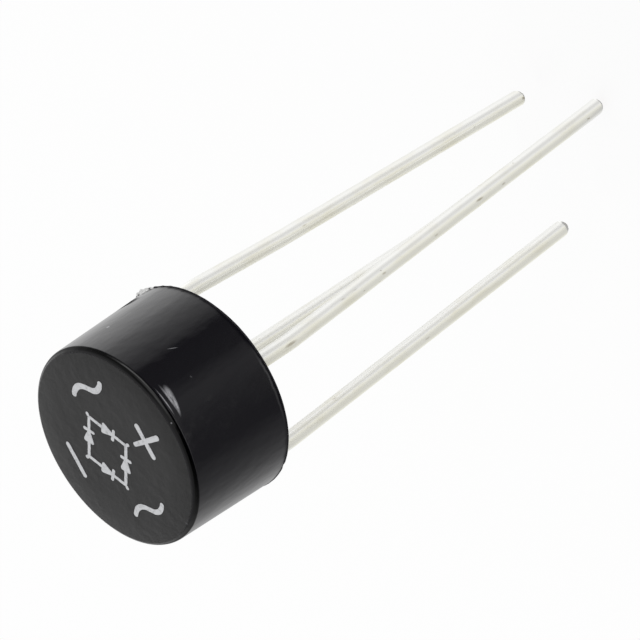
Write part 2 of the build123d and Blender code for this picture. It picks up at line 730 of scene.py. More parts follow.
@dataclass(frozen=True)
class JunctionCoating:
    """Soft cream resin that seals the edge of a die."""

    colour: Colour = (0.74, 0.70, 0.60)
    settled: Colour = (0.60, 0.55, 0.44)

    def material(self) -> bpy.types.Material:
        """Make the material.

        Returns:
            The coating.
        """
        b = Bench("junction_coating")
        flow = b.cloud(2.2, 4.0, 0.6)
        skin = b.cloud(12.0, 2.0, 0.5)
        b.set(
            base_color=b.tint(b.window(flow, 0.35, 0.7), self.colour, self.settled),
            roughness=b.window(skin, 0.25, 0.75, 0.36, 0.56),
            subsurface_weight=0.15,
            ior=1.41,
        )
        b.emboss(flow + skin * 0.4, 0.012, 0.5)
        return b.material


@dataclass(frozen=True)
class FloorPaint:
    """A plain white floor that keeps the part's shadow, and lets a low camera look up through it."""

    colour: Colour = (0.86, 0.86, 0.86)
    own_light: float = 0.85

    def material(self) -> bpy.types.Material:
        """Make the material.

        Returns:
            The floor's white.
        """
        material = bpy.data.materials.new("white_floor")
        w = emptied(material)
        paint = w.out("ShaderNodeBsdfDiffuse", {"Color": self.colour})
        glow = w.out("ShaderNodeEmission", {"Color": WHITE, "Strength": 1.0})
        clear = w.out("ShaderNodeBsdfTransparent")
        share = w.out("ShaderNodeLightPath", output="Is Camera Ray") * self.own_light
        white = w.out("ShaderNodeMixShader", {0: share, 1: paint, 2: glow})
        below = w.out("ShaderNodeNewGeometry", output="Backfacing")
        both = w.out("ShaderNodeMixShader", {0: below, 1: white, 2: clear})
        w.node("ShaderNodeOutputMaterial", {"Surface": both})
        return material


# ---- Meshes ----------------------------------------------------------------------------------


def added(name: str, data: bpy.types.ID) -> bpy.types.Object:
    """Put new data in the scene.

    Args:
        name: The new object's name.
        data: Its mesh, lamp or camera.

    Returns:
        The object.
    """
    made = bpy.data.objects.new(name, data)
    bpy.context.scene.collection.objects.link(made)
    return made


def finished(name: str, mesh: bpy.types.Mesh, replaced: Iterable[str] = ()) -> bpy.types.Object:
    """Put a finished mesh in the scene as a piece of the part.

    Args:
        name: The piece's name.
        mesh: Its mesh, in metres.
        replaced: The CAD nodes that it stands for.

    Returns:
        The piece's object.
    """
    mesh.name = name
    piece = added(name, mesh)
    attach(piece, ROOT)
    if replaced:
        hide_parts(*replaced)
    log.info("%s: %d faces", name, len(mesh.polygons))
    return piece


def merged(name: str, meshes: Iterable[bpy.types.Mesh], material: bpy.types.Material) -> bpy.types.Mesh:
    """Put several meshes in one.

    Args:
        name: The new mesh's name.
        meshes: The meshes, which are used up.
        material: The new mesh's only material.

    Returns:
        The new mesh, smooth, with its faces turned outwards.
    """
    whole = bmesh.new()
    for mesh in meshes:
        whole.from_mesh(mesh)
        bpy.data.meshes.remove(mesh)
    bmesh.ops.recalc_face_normals(whole, faces=whole.faces)
    for face in whole.faces:
        face.smooth = True
    made = bpy.data.meshes.new(name)
    whole.to_mesh(made)
    whole.free()
    made.materials.clear()
    made.materials.append(material)
    return made


def rings(name: str, loops: list[np.ndarray]) -> bpy.types.Mesh:
    """Skin a closed form over a row of loops.

    Args:
        name: The mesh's name.
        loops: The loops in millimetres, each an (n, 3) array, or (1, 3) for a pole.

    Returns:
        The closed mesh, in metres.
    """
    shape = bmesh.new()
    rows = [[shape.verts.new(Vector(p) * MM) for p in loop] for loop in loops]
    for above, below in zip(rows, rows[1:]):
        count = max(len(above), len(below))
        for i in range(count):
            k = (i + 1) % count
            if len(above) == 1:
                corners = (above[0], below[i], below[k])
            elif len(below) == 1:
                corners = (above[i], below[0], above[k])
            else:
                corners = (above[i], below[i], below[k], above[k])
            shape.faces.new(corners)
    for row in (rows[0], rows[-1]):
        if len(row) > 1:
            shape.faces.new(row)
    mesh = bpy.data.meshes.new(name)
    shape.to_mesh(mesh)
    shape.free()
    return mesh


def routes(name: str, paths: Iterable[Iterable[tuple[Point, float]]]) -> bpy.types.Object:
    """Lay paths down as loose edges for a node tree to follow.

    Args:
        name: The object's name.
        paths: Each path's points in millimetres, each with a number for the tree.

    Returns:
        The object, whose vertices hold the number as "measure", in metres.
    """
    points: list[Point] = []
    measures: list[float] = []
    edges: list[tuple[int, int]] = []
    for path in paths:
        first = len(points)
        for point, measure in path:
            points.append(tuple(c * MM for c in point))
            measures.append(measure * MM)
        edges += [(i, i + 1) for i in range(first, len(points) - 1)]
    mesh = bpy.data.meshes.new(name)
    mesh.from_pydata(points, edges, [])
    mesh.attributes.new("measure", "FLOAT", "POINT").data.foreach_set("value", measures)
    return added(name, mesh)


class Grower(Wiring):
    """Builds one Geometry Nodes tree, and bakes what it makes of an object into a plain mesh.

    Lengths inside a tree are in metres.
    """

    HELPERS = ("measure", "from_tip", "middle")

    def __init__(self, name: str) -> None:
        """Start a tree that takes one geometry and gives one back.

        Args:
            name: The tree's name.
        """
        super().__init__(bpy.data.node_groups.new(name, "GeometryNodeTree"))
        self.tree.interface.new_socket("Shape", in_out="OUTPUT", socket_type="NodeSocketGeometry")
        self.identifiers: dict[str, str] = {}
        self.given = self.node("NodeGroupInput")
        self.route = self.wanted("Route", "Geometry")
        self.place = self.out("GeometryNodeInputPosition")

    def wanted(self, name: str, kind: str) -> Signal:
        """Add a named input to the tree.

        Args:
            name: The input's name.
            kind: Geometry, Float, Int, Vector or Material.

        Returns:
            The input, inside the tree.
        """
        item = self.tree.interface.new_socket(name, in_out="INPUT", socket_type=f"NodeSocket{kind}")
        self.identifiers[name] = item.identifier
        return Signal(self, self.given.outputs[name])

    def read(self, name: str, kind: str = "FLOAT") -> Signal:
        """What the points hold under a name."""
        return self.out("GeometryNodeInputNamedAttribute", {"Name": name}, "Attribute", data_type=kind)

    def held(self, shape: Signal, name: str, value: Signal, kind: str = "FLOAT") -> Signal:
        """The shape, with a value that its points hold under a name."""
        inputs = {"Geometry": shape, "Name": name, "Value": value}
        return self.out("GeometryNodeStoreNamedAttribute", inputs, data_type=kind)

    def circle(self, sides: Signal | int, radius: Signal | float) -> Signal:
        """A round profile."""
        return self.out("GeometryNodeCurvePrimitiveCircle", {"Resolution": sides, "Radius": radius})

    def swept(self, line: Signal, profile: Signal, scale: Signal | float = 1.0, caps: bool = True) -> Signal:
        """The skin that a profile makes as it runs along a line."""
        inputs = {"Curve": line, "Profile Curve": profile, "Scale": scale, "Fill Caps": caps}
        return self.out("GeometryNodeCurveToMesh", inputs)

    def noise(self, place: Signal, seed: Signal) -> Signal:
        """Soft random noise, from 0 to 1."""
        inputs = {"Vector": place, "W": seed, "Scale": 1.0, "Detail": 2.0}
        return self.out("ShaderNodeTexNoise", inputs, "Fac", noise_dimensions="4D")

    def lift(self, height: Signal) -> Signal:
        """A move straight up."""
        return self.out("ShaderNodeCombineXYZ", {"Z": height})

    def moved(self, shape: Signal, one: Signal, other: Signal) -> Signal:
        """The shape, with its points taken along by both moves."""
        inputs = {"Geometry": shape, "Offset": self.vector("ADD", one, other)}
        return self.out("GeometryNodeSetPosition", inputs)

    def end(self, shape: Signal, material: Signal) -> None:
        """Close the tree.

        Args:
            shape: What it has made.
            material: The shape's material.
        """
        smooth = self.out("GeometryNodeSetShadeSmooth", {"Geometry": shape})
        real = self.out("GeometryNodeRealizeInstances", {"Geometry": smooth})
        dressed = self.out("GeometryNodeSetMaterial", {"Geometry": real, "Material": material})
        self.node("NodeGroupOutput", {"Shape": dressed})

    def grow(self, laid: bpy.types.Object, values: dict[str, Any]) -> bpy.types.Mesh:
        """Run the tree on an object.

        Args:
            laid: The object with the route, which is used up.
            values: The tree's inputs by name.

        Returns:
            The plain mesh that it makes.
        """
        modifier = laid.modifiers.new("grower", "NODES")
        modifier.node_group = self.tree
        for name, value in values.items():
            modifier[self.identifiers[name]] = value
        graph = bpy.context.evaluated_depsgraph_get()
        mesh = bpy.data.meshes.new_from_object(laid.evaluated_get(graph), depsgraph=graph)
        laid.modifiers.remove(modifier)
        source = laid.data
        bpy.data.objects.remove(laid)
        bpy.data.meshes.remove(source)
        for name in [a.name for a in mesh.attributes if a.name in self.HELPERS]:
            mesh.attributes.remove(mesh.attributes[name])
        return mesh


# ---- The drum --------------------------------------------------------------------------------


@dataclass
class Moulding:
    """The moulded drum: drafted wall, rounded marked face, ragged flash and marked seating face.

    Attributes:
        sides: How many points each loop has.
        flash_fins: Where the flash reaches further out: degrees from +X, width in degrees, and how much.
        flash_share: The share of its reach that the flash always has, and the share that comes and goes.
        flash_profile: The flash's section: shares of its reach and of its height.
        flash_least: The least that the flash stands out.
        flash_run: How far above the flash the wall's last loop lies.
        face_radii: The loops' radii on the flat middle of the marked face.
        crown_loops: How many loops the crowned part has, and so on for the edge and the wall.
        seat_radii: The first, the last and the step of the loops' radii on the seating face.
    """

    node: str = "moulded_body"
    sides: int = 400
    flash_proud: float = 0.043
    flash_height: float = 0.042
    flash_seed: int = 11
    flash_waves: tuple[int, ...] = (3, 5, 9, 17, 33, 61)
    flash_share: Band = (0.42, 0.58)
    flash_fins: tuple[Triple, ...] = (
        (143.5, 1.8, 0.12), (139.0, 2.4, 0.15), (134.5, 1.8, 0.08), (131.0, 1.5, 0.05),
        (126.5, 1.2, 0.03), (120.0, 0.8, 0.02), (114.0, 1.0, 0.03), (104.0, 0.8, 0.015),
        (340.5, 1.6, -0.05),
    )
    flash_profile: Ring = ((0.10, 1.0), (0.50, 0.93), (0.90, 0.76), (1.0, 0.54), (1.0, 0.22), (0.84, 0.0))
    flash_least: float = 0.002
    flash_run: float = 0.02
    wall_loops: int = 24
    edge_round: float = 0.20
    edge_depth: float = 0.30
    edge_loops: int = 27
    ink_room: float = 0.012
    face_radii: tuple[float, ...] = (0.4, 0.9, 1.4, 1.9)
    crown_start: float = 2.4
    crown_drop: float = 0.052
    crown_loops: int = 12
    seat_radii: Triple = (4.68, 0.05, -0.075)
    ejector_radius: float = 0.65
    ejector_soft: float = 0.03
    ejector_depth: float = 0.08
    ejector_offset: float = 3.1

    def __post_init__(self) -> None:
        """Take the drum's own sizes from its CAD node."""
        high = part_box(self.node)[1]
        self.rim = high[0] / MM
        self.height = high[2] / MM - self.ink_room
        self.seat_radius = self.rim - self.flash_proud
        self.turns = np.linspace(0.0, 2 * math.pi, self.sides, endpoint=False)
        self.face_radius = self.wall_at(self.height - self.crown_drop) - self.edge_round

    def wall_at(self, height: float) -> float:
        """The wall's radius at a height."""
        return self.seat_radius - height * math.tan(math.radians(WALL_DRAFT))

    def level(self, radius: float) -> float:
        """The marked face's height at a radius, a little crowned near its edge."""
        part = max(0.0, (radius - self.crown_start) / (self.face_radius - self.crown_start))
        return self.height - self.crown_drop * part**3

    def flash(self) -> np.ndarray:
        """How far the flash stands out from the wall, all the way round.

        Returns:
            One number for each side, in millimetres.
        """
        rng = np.random.default_rng(self.flash_seed)
        ragged = np.zeros(self.sides)
        for waves in self.flash_waves:
            ragged += np.sin(waves * self.turns + rng.uniform(0, 2 * math.pi)) / math.sqrt(waves)
        ragged = (ragged - ragged.min()) / (ragged.max() - ragged.min())
        always, sometimes = self.flash_share
        out = self.flash_proud * (always + sometimes * ragged)
        degrees = np.degrees(self.turns)
        for middle, width, more in self.flash_fins:
            out += more * np.exp(-(((degrees - middle) / width) ** 2))
        reach = np.abs(np.array([np.cos(self.turns), np.sin(self.turns)])).max(0)
        return np.clip(out, self.flash_least, self.rim / reach - self.seat_radius)

    def ring(self, radius: Any, height: float) -> np.ndarray:
        """A loop round the drum.

        Args:
            radius: One radius, or one for each side.
            height: Its height.

        Returns:
            The loop's points.
        """
        level = np.ones(self.sides) * height
        return np.stack([radius * np.cos(self.turns), radius * np.sin(self.turns), level], 1)

    def seat(self, radius: float) -> np.ndarray:
        """A loop on the seating face, sunk where an ejector pin pressed.

        Args:
            radius: Its radius.

        Returns:
            The loop's points.
        """
        loop = self.ring(radius, 0.0)
        for side in (-1, 1):
            away = np.hypot(loop[:, 0] - side * self.ejector_offset, loop[:, 1])
            inside = self.ejector_radius + self.ejector_soft - away
            part = np.clip(inside / (2 * self.ejector_soft), 0.0, 1.0)
            loop[:, 2] += self.ejector_depth * part * part * (3 - 2 * part)
        return loop

    def build(self, resin: bpy.types.Material) -> bpy.types.Mesh:
        """Make the drum's closed skin.

        Args:
            resin: Its material.

        Returns:
            The mesh.
        """
        loops = [np.array([[0.0, 0.0, self.height]])]
        crown = np.linspace(self.crown_start, self.face_radius, self.crown_loops + 1)[:-1]
        loops += [self.ring(radius, self.level(radius)) for radius in (*self.face_radii, *crown)]
        base = self.level(self.face_radius)
        for bend in np.linspace(0.0, 0.5 * math.pi, self.edge_loops):
            height = base - self.edge_depth * (1 - math.cos(bend))
            loops.append(self.ring(self.wall_at(height) - self.edge_round * (1 - math.sin(bend)), height))
        foot = self.flash_height + self.flash_run
        for height in np.linspace(base - self.edge_depth, foot, self.wall_loops)[1:]:
            loops.append(self.ring(self.wall_at(height), height))
        flash = self.flash()
        for out, share in self.flash_profile:
            loops.append(self.ring(self.seat_radius + flash * out, self.flash_height * share))
        loops += [self.seat(radius) for radius in np.arange(*self.seat_radii)]
        loops.append(np.zeros((1, 3)))
        return merged("moulding", [rings("skin", loops)], resin)

    def dress(self, resin: bpy.types.Material) -> bpy.types.Object:
        """Build the drum in its resin and put it in the scene."""
        return finished("moulded_drum", self.build(resin), (self.node,))


# ---- The wires -------------------------------------------------------------------------------


class WireGrower(Grower):
    """Sweeps a round wire along a route: bent, slightly uneven, and cut off at its end."""

    BEND_STEPS = 14
    CROWDING = 1.7
    DRAWN_GRAIN = (2600.0, 2600.0, 420.0)
    EVEN_LEVEL = 0.62
    CUT_REACH = 0.0009

    def __init__(self) -> None:
        """Build the tree."""
        super().__init__("drawn_wire")
        self.radius = self.wanted("Wire Radius", "Float")
        self.count = self.wanted("Rings", "Int")
        self.sides = self.wanted("Sides", "Int")
        self.tip = self.wanted("Tip Round", "Float")
        self.slant = self.wanted("Tip Slant", "Vector")
        self.wander = self.wanted("Unevenness", "Float")
        self.seed = self.wanted("Seed", "Float")
        plate = self.wanted("Plate", "Material")
        skin = self.skin(self.middle_line())
        away = self.vector("SUBTRACT", self.place, self.read("middle", "FLOAT_VECTOR"))
        self.end(self.moved(skin, self.uneven(away), self.cut(away)), plate)

    def middle_line(self) -> Signal:
        """The wire's middle line, round at its bends, with its points closer together at the tip.

        Returns:
            The curve.
        """
        line = self.out("GeometryNodeMeshToCurve", {"Mesh": self.route})
        bend = {
            "Curve": line,
            "Count": self.BEND_STEPS,
            "Radius": self.read("measure"),
            "Limit Radius": True,
        }
        bent = self.out("GeometryNodeFilletCurve", bend, mode="POLY")
        even = self.out("GeometryNodeResampleCurve", {"Curve": bent, "Count": self.count})
        share = self.out("GeometryNodeSplineParameter", output="Factor")
        closer = 1.0 - self.math("POWER", 1.0 - share, self.CROWDING)
        along = self.out("GeometryNodeCurveLength", {"Curve": bent}) * closer
        sample = {"Curves": bent, "Length": along}
        there = self.out("GeometryNodeSampleCurve", sample, "Position", mode="LENGTH")
        return self.out("GeometryNodeSetPosition", {"Geometry": even, "Position": there})

    def skin(self, line: Signal) -> Signal:
        """The round tube, drawn in at the tip, whose points know their place on the middle line.

        Args:
            line: The middle line.

        Returns:
            The tube.
        """
        whole = self.out("GeometryNodeSplineLength", output="Length")
        off = whole - self.out("GeometryNodeSplineParameter", output="Length")
        short = self.most(self.tip - off, 0.0)
        rounded = self.math("SQRT", self.most(self.tip * self.tip - short * short, 0.0))
        known = self.held(self.held(line, "from_tip", off), "middle", self.place, "FLOAT_VECTOR")
        return self.swept(known, self.circle(self.sides, 1.0), self.radius - self.tip + rounded)

    def uneven(self, away: Signal) -> Signal:
        """How far the drawing die left each point in or out.

        Args:
            away: From the middle line to the point.

        Returns:
            The move.
        """
        stretched = self.vector("MULTIPLY", self.place, self.DRAWN_GRAIN)
        push = (self.noise(stretched, self.seed) - self.EVEN_LEVEL) * self.wander
        return self.vector("SCALE", self.vector("NORMALIZE", away), push)

    def cut(self, away: Signal) -> Signal:
        """How far the slant of the cut takes each point up.

        Args:
            away: From the middle line to the point.

        Returns:
            The move.
        """
        near = self.window(self.read("from_tip"), 0.0, self.CUT_REACH, 1.0, 0.0)
        return self.lift(self.most(self.vector("DOT_PRODUCT", away, self.slant) * near, 0.0))


@dataclass
class Terminal:
    """One wire with the flat head that is coined on its upper end.

    Attributes:
        node: The CAD node that it stands for.
        pin: The record's mount that gives the wire's lower run.
        side_x: Which side of the drum it stands on, along X.
        side_y: The same along Y.
        length: From the seating face to the tip.
        cut: How the tip was cut.
        bend_depth: Where a second bend sits, or 0 for none.
        pits: Marks in the plating.
        corner_steps: How many points round off each corner of the head.
        coined_edge: How far the head's edge is rounded.
        coined_share: How far the middle of that round is drawn in, as a share of it.
    """

    node: str
    pin: str
    side_x: int
    side_y: int
    length: float
    cut: TipCut = TipCut.SQUARE
    bend_depth: float = 0.0
    pits: tuple[Pit, ...] = ()
    exit_depth: float = 2.3
    exit_bend: float = 8.0
    middle_bend: float = 45.0
    unevenness: float = 0.010
    ring_count: int = 330
    sides: int = 40
    head_inset: float = 0.25
    head_width: float = 1.5
    head_thickness: float = 0.35
    corner: float = 0.18
    outer_corner: float = 0.8
    corner_steps: int = 9
    coined_edge: float = 0.04
    coined_share: float = 0.3

    def __post_init__(self) -> None:
        """Take the head's level from the CAD node and the wire's line from the record."""
        self.head_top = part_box(self.node)[1][2] / MM
        self.mount = next(m for m in frame["record"]["mounts"] if m["name"] == self.pin)

    def tip_shape(self) -> tuple[float, Point]:
        """Give the cut its shape.

        Returns:
            The tip's round in millimetres, and its slant.
        """
        return {
            TipCut.SQUARE: (0.11, (0.12, -0.20, 0.0)),
            TipCut.SLANTED: (0.12, (-0.26, 0.20, 0.0)),
            TipCut.TUMBLED: (0.33, (-0.10, 0.08, 0.0)),
        }[self.cut]

    def line_at(self, depth: float) -> Point:
        """The middle of the wire's lower run at a depth below the seating face.

        Args:
            depth: The depth.

        Returns:
            The point.
        """
        start = Vector(self.mount["pos_m"]) / MM
        axis = Vector(self.mount["axis"])
        return tuple(start + axis * ((-depth - start.z) / axis.z))

    def surface_at(self, depth: float, turn: float) -> Point:
        """A point on the lower run's surface.

        Args:
            depth: How far below the seating face it is.
            turn: Where it is round the wire, in degrees from +X.

        Returns:
            The point.
        """
        x, y, z = self.line_at(depth)
        angle = math.radians(turn)
        return x + WIRE_RADIUS * math.cos(angle), y + WIRE_RADIUS * math.sin(angle), z

    def route(self) -> list[tuple[Point, float]]:
        """The corners of the wire's middle line, each with its bend radius.

        Returns:
            The corners from the head down to the tip.
        """
        x, y = self.side_x * WIRE_PITCH / 2, self.side_y * WIRE_PITCH / 2
        corners = [((x, y, self.head_top - self.head_thickness / 2), 0.0)]
        corners.append(((x, y, -self.exit_depth), self.exit_bend))
        if self.bend_depth:
            corners.append((self.line_at(self.bend_depth), self.middle_bend))
        corners.append((self.line_at(self.length), 0.0))
        return corners

    def head_outline(self) -> list[tuple[Vector, Vector]]:
        """The outline of the flat L, in the quarter where both sides are positive.

        Returns:
            Its points, each with the way out of the L there.
        """
        wide = self.head_width / 2
        far = WIRE_PITCH / 2 - self.head_inset + wide
        near = far - self.head_width
        corners = [(-wide, far), (-wide, near), (near, near), (near, -wide), (far, -wide), (far, far)]
        hollow, outermost = corners[2], corners[-1]
        outline: list[tuple[Vector, Vector]] = []
        for i, corner in enumerate(corners):
            here = Vector(corner)
            back = (Vector(corners[i - 1]) - here).normalized()
            ahead = (Vector(corners[(i + 1) % len(corners)]) - here).normalized()
            bend = self.outer_corner if corner is outermost else self.corner
            centre = here + (back + ahead) * bend
            for part in np.linspace(0.0, 1.0, self.corner_steps):
                turn = -(ahead * math.cos(part * math.pi / 2) + back * math.sin(part * math.pi / 2))
                outline.append((centre + turn * bend, -turn if corner is hollow else turn))
        return outline

    def head(self) -> bpy.types.Mesh:
        """The flat L that reaches over two diodes.

        Returns:
            The mesh.
        """
        flip = Vector((self.side_x, self.side_y))
        outline = self.head_outline()
        edge, slight = self.coined_edge, self.coined_edge * self.coined_share
        low, top = self.head_top - self.head_thickness, self.head_top
        section = (
            (edge, low), (slight, low + slight), (0.0, low + edge),
            (0.0, top - edge), (slight, top - slight), (edge, top),
        )
        loops = []
        for inset, height in section:
            loops.append(np.array([[*((p - n * inset) * flip), height] for p, n in outline]))
        return rings("head", loops)

    def build(self, grower: WireGrower, plate: bpy.types.Material, seed: float) -> bpy.types.Mesh:
        """Make the wire and its head as one mesh.

        Args:
            grower: The wire's node tree.
            plate: The plating.
            seed: Which unevenness the wire has.

        Returns:
            The mesh.
        """
        tip, slant = self.tip_shape()
        sizes = {
            "Wire Radius": WIRE_RADIUS * MM,
            "Rings": self.ring_count,
            "Sides": self.sides,
            "Tip Round": tip * MM,
            "Tip Slant": slant,
            "Unevenness": self.unevenness * MM,
            "Seed": seed,
            "Plate": plate,
        }
        wire = grower.grow(routes(f"{self.node}_route", [self.route()]), sizes)
        return merged(self.node, [wire, self.head()], plate)

    def dress(self, grower: WireGrower, seed: float) -> bpy.types.Object:
        """Build the terminal and plate it.

        Args:
            grower: The wire's node tree.
            seed: Which unevenness the wire has.

        Returns:
            The finished piece.
        """
        spots = tuple((self.surface_at(pit.depth, pit.turn), pit) for pit in self.pits)
        plate = TinPlate(f"tin_on_{self.node}", self.line_at(self.length), spots).material()
        return finished(f"{self.node}_wire", self.build(grower, plate, seed), (self.node,))


@dataclass
class Terminals:
    """The four wires of the bridge."""

    wires: tuple[Terminal, ...] = field(
        default_factory=lambda: (
            Terminal(
                "plus_terminal", "lead_plus", 1, 1, 23.22,
                pits=(
                    Pit(33.0, 2.02, 0.95, 0.19, 0.62),
                    Pit(59.0, 5.50, 0.40, 0.10, 0.35),
                    Pit(60.0, 6.30, 0.34, 0.08, 0.30),
                    Pit(29.0, 8.05, 0.36, 0.13, 0.50),
                    Pit(17.0, 11.5, 0.34, 0.12, 0.40),
                    Pit(32.0, 14.5, 0.66, 0.15, 0.65),
                    Pit(16.0, 16.1, 0.34, 0.12, 0.50),
                ),
            ),
            Terminal("minus_terminal", "lead_minus", -1, -1, 21.2, TipCut.SQUARE, 16.2),
            Terminal(
                "ac_terminal_left", "lead_ac_left", -1, 1, 22.4, TipCut.SLANTED, 7.2,
                pits=(Pit(44.0, 8.4, 0.40, 0.10, 0.35), Pit(26.0, 22.25, 0.20, 0.16, 0.80)),
            ),
            Terminal(
                "ac_terminal_right", "lead_ac_right", 1, -1, 20.98, TipCut.TUMBLED,
                pits=(Pit(88.0, 5.2, 0.40, 0.10, 0.40), Pit(20.0, 11.0, 0.50, 0.12, 0.35)),
            ),
        )
    )

    seeds: tuple[float, ...] = (3.0, 10.0, 17.0, 24.0)

    def dress(self) -> list[bpy.types.Object]:
        """Build and plate all four."""
        grower = WireGrower()
        return [wire.dress(grower, seed) for wire, seed in zip(self.wires, self.seeds)]


# ---- Resin collars ---------------------------------------------------------------------------


class CollarGrower(Grower):
    """Sets a thin ring of resin at each point where a wire comes out."""

    RING_SIDES = 64
    LIP_SIDES = 12
    LIP_OUT = 0.6

    def __init__(self) -> None:
        """Build the tree."""
        super().__init__("resin_collars")
        wire = self.wanted("Wire Radius", "Float")
        lip = self.wanted("Lip", "Float")
        resin = self.wanted("Resin", "Material")
        path = self.circle(self.RING_SIDES, wire + lip * self.LIP_OUT)
        ring = self.swept(path, self.circle(self.LIP_SIDES, lip), caps=False)
        spread = self.out("GeometryNodeInstanceOnPoints", {"Points": self.route, "Instance": ring})
        self.end(spread, resin)


@dataclass
class Collars:
    """Thin rings of resin that the moulding leaves round the wires at the seating face."""

    lip: float = 0.05
    rise: float = 0.012

    def dress(self, resin: bpy.types.Material) -> bpy.types.Object:
        """Build the four rings.

        Args:
            resin: The drum's resin.

        Returns:
            The finished piece.
        """
        half = WIRE_PITCH / 2
        exits = [[((x * half, y * half, self.rise), 0.0)] for x in (-1, 1) for y in (-1, 1)]
        sizes = {"Wire Radius": WIRE_RADIUS * MM, "Lip": self.lip * MM, "Resin": resin}
        mesh = CollarGrower().grow(routes("wire_exits", exits), sizes)
        return finished("resin_collars", merged("collars", [mesh], resin))


# ---- The printed signs -----------------------------------------------------------------------


class InkGrower(Grower):
    """Lays a low, round-ended line of ink along each path."""

    EDGE_GRAIN = 5200.0
    EDGE_SLOPE = 0.22
    BLUNT_END = 0.012
    SIDES = 16

    def __init__(self) -> None:
        """Build the tree."""
        super().__init__("ink_lines")
        self.thick = self.wanted("Thickness", "Float")
        self.step = self.wanted("Step", "Float")
        self.bead = self.wanted("End Round", "Float")
        self.wander = self.wanted("Edge Wander", "Float")
        self.seed = self.wanted("Seed", "Float")
        ink = self.wanted("Ink", "Material")
        line = self.out("GeometryNodeMeshToCurve", {"Mesh": self.route})
        fine = self.out("GeometryNodeResampleCurve", {"Curve": line, "Length": self.step}, mode="LENGTH")
        level = self.out("GeometryNodeSetCurveNormal", {"Curve": fine}, mode="Z_UP")
        known = self.held(level, "middle", self.place, "FLOAT_VECTOR")
        band = self.swept(known, self.circle(self.SIDES, 1.0), self.half_width())
        away = self.vector("SUBTRACT", self.place, self.read("middle", "FLOAT_VECTOR"))
        self.end(self.moved(band, self.ragged(away), self.pressed(away)), ink)

    def half_width(self) -> Signal:
        """Half the line's width, drawn in to a round at both ends.

        Returns:
            The half width.
        """
        wide = self.read("measure")
        along = self.out("GeometryNodeSplineParameter", output="Length")
        whole = self.out("GeometryNodeSplineLength", output="Length")
        corner = self.least(wide, self.bead)
        short = 1.0 - self.least(self.least(along, whole - along) / corner, 1.0)
        cap = self.math("SQRT", self.most(1.0 - short * short, self.BLUNT_END))
        return wide - corner * (1.0 - cap)

    def ragged(self, away: Signal) -> Signal:
        """How far the line's edge wanders.

        Args:
            away: From the path to the point.

        Returns:
            The move.
        """
        noise = self.noise(self.vector("SCALE", self.place, self.EDGE_GRAIN), self.seed)
        aside = self.vector("SCALE", self.vector("NORMALIZE", away), (noise - 0.5) * self.wander)
        return self.vector("MULTIPLY", aside, (1.0, 1.0, 0.0))

    def pressed(self, away: Signal) -> Signal:
        """How far the round line is pressed down to the ink's thickness.

        Args:
            away: From the path to the point.

        Returns:
            The move.
        """
        rise = self.split(away)[2]
        kept = self.most(self.least(rise * self.EDGE_SLOPE, self.thick), self.thick * -1.0)
        return self.lift(kept - rise)


